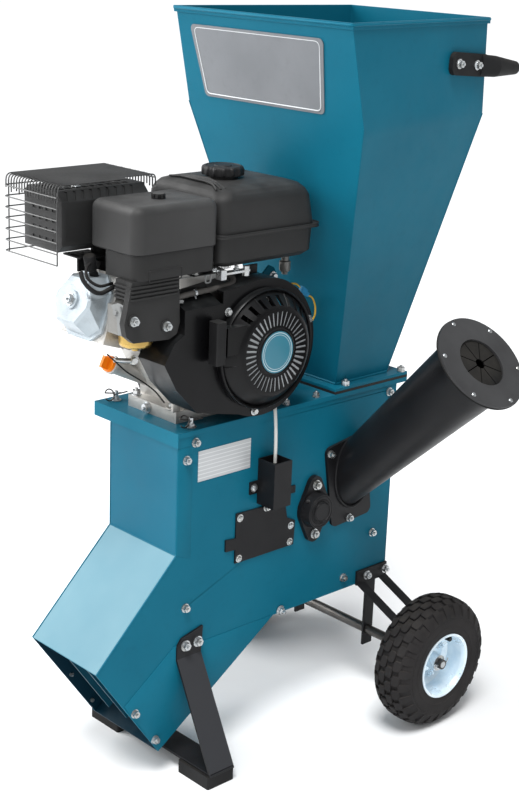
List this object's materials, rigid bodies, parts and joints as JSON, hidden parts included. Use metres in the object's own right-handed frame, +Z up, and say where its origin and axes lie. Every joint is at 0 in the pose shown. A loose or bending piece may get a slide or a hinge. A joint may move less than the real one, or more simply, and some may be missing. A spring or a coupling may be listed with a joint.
{
  "type": "wood chipper",
  "caption": "Petrol garden chipper: square feed hopper, side branch tube, belt-driven rotor in a sheet-steel housing, slanted discharge chute, two wheels and a front foot bar.",
  "frame": {"origin": "on the ground under the middle of the whole machine", "axes": "+Z up, +X from the discharge chute towards the wheels and push handles, +Y from the feed-tube side to the belt side"},
  "size_m": [0.7703, 0.6311, 1.115],
  "materials": {
    "bare_steel": "satin",
    "black_paint": "satin powder coat",
    "black_rubber": "matt rubber",
    "brass": "yellow passivated",
    "cast_aluminium": "as cast, silver lacquer",
    "cast_iron": "turned grooves",
    "grey_label": "blank printed plate",
    "grey_plastic": "fine moulded grain",
    "grips": "soft grip over tube",
    "orange_plastic": "moulded",
    "pale_sheath": "cable sheath",
    "teal_disc": "printed disc",
    "teal_paint": "satin powder coat",
    "tyre_rubber": "moulded rubber",
    "zinc_plate": "bright zinc plate"
  },
  "bodies": {
    "root": {"air_cleaner_base": "grey_plastic", "air_cleaner_cover": "grey_plastic", "axle": "zinc_plate", "axle_washers": "zinc_plate", "bearing_far": "black_paint", "bearing_near": "black_paint", "belt_guard": "black_paint", "carburettor": "cast_aluminium", "chute_guard": "teal_paint", "cover_plate": "black_paint", "crankcase": "cast_aluminium", "cylinder": "cast_aluminium", "deck_plate": "teal_paint", "drive_belt": "black_rubber", "fan_shroud": "grey_plastic", "feed_flap": "black_rubber", "feed_ring": "black_paint", "feed_tube": "black_paint", "float_bowl": "brass", "front_wall": "teal_paint", "fuel_tank": "grey_plastic", "hex_bolts": "zinc_plate", "hopper": "teal_paint", "hopper_badge": "grey_label", "hopper_flange": "teal_paint", "hopper_gasket": "black_rubber", "leg_frame": "black_paint", "outlet_screen": "teal_paint", "push_handles": "grips", "rating_plate": "grey_label", "rear_wall": "teal_paint", "recoil_cover": "grey_plastic", "recoil_disc": "teal_disc", "rocker_cover": "cast_aluminium", "rubber_feet": "black_rubber", "side_wall_far": "teal_paint", "side_wall_near": "teal_paint", "silencer": "black_paint", "silencer_guard": "bare_steel", "switch_box": "black_paint", "switch_cable": "pale_sheath", "wheel_brackets": "black_paint"},
    "wheel_near": {"tyre_near": "tyre_rubber", "rim_near": "zinc_plate"},
    "wheel_far": {"tyre_far": "tyre_rubber", "rim_far": "zinc_plate"},
    "rotor": {"rotor_shaft": "zinc_plate", "rotor_drum": "bare_steel", "rotor_knives": "bare_steel", "rotor_pulley": "cast_iron"},
    "hammer_front": {"hammer_front": "bare_steel"},
    "hammer_rear": {"hammer_rear": "bare_steel"},
    "crank": {"crankshaft": "bare_steel", "crank_pulley": "cast_iron"},
    "starter": {"starter_handle": "grey_plastic"},
    "fuel_cap": {"fuel_cap": "grey_plastic"},
    "dipstick": {"dipstick": "orange_plastic"},
    "choke_lever": {"choke_lever": "zinc_plate"},
    "fuel_lever": {"fuel_lever": "zinc_plate"},
    "throttle_lever": {"throttle_lever": "zinc_plate"}
  },
  "joints": [
    {"name": "wheel_near_spin", "type": "hinge", "parent": "root", "child": "wheel_near", "pos_m": [0.1902, -0.1585, 0.1079], "axis": [0, 1, 0], "continuous": true},
    {"name": "wheel_far_spin", "type": "hinge", "parent": "root", "child": "wheel_far", "pos_m": [0.1902, 0.2801, 0.1079], "axis": [0, 1, 0], "continuous": true},
    {"name": "rotor_spin", "type": "hinge", "parent": "root", "child": "rotor", "pos_m": [0.0436, 0.0608, 0.362], "axis": [0, 1, 0], "continuous": true},
    {"name": "crank_spin", "type": "hinge", "parent": "root", "child": "crank", "pos_m": [-0.0964, 0.0738, 0.652], "axis": [0, 1, 0], "continuous": true},
    {"name": "hammer_front_swing", "type": "hinge", "parent": "rotor", "child": "hammer_front", "pos_m": [-0.0384, 0.0528, 0.362], "axis": [0, 1, 0], "continuous": true},
    {"name": "hammer_rear_swing", "type": "hinge", "parent": "rotor", "child": "hammer_rear", "pos_m": [0.1256, 0.0528, 0.362], "axis": [0, 1, 0], "continuous": true},
    {"name": "starter_pull", "type": "slide", "parent": "root", "child": "starter", "axis": [-1, 0, 0], "range_m": [0, 0.4], "stiffness_N_per_m": 25},
    {"name": "fuel_cap_turn", "type": "hinge", "parent": "root", "child": "fuel_cap", "pos_m": [-0.1094, 0.0438, 0.89], "axis": [0, 0, 1], "range_deg": [0, 90]},
    {"name": "dipstick_turn", "type": "hinge", "parent": "root", "child": "dipstick", "pos_m": [-0.2539, 0.1158, 0.6167], "axis": [-0.9048, 0, 0.4258], "range_deg": [0, 720]},
    {"name": "choke_swing", "type": "hinge", "parent": "root", "child": "choke_lever", "pos_m": [-0.2744, 0.0013, 0.73], "axis": [1, 0, 0], "range_deg": [0, 45]},
    {"name": "fuel_valve_turn", "type": "hinge", "parent": "root", "child": "fuel_lever", "pos_m": [-0.2774, 0.0013, 0.706], "axis": [1, 0, 0], "range_deg": [0, 90]},
    {"name": "throttle_swing", "type": "hinge", "parent": "root", "child": "throttle_lever", "pos_m": [-0.1224, -0.0262, 0.767], "axis": [0, 0, 1], "range_deg": [-15, 15]}
  ],
  "couplings": [
    {"joint": "crank_spin", "follows": "rotor_spin", "ratio": 1.2203}
  ]
}
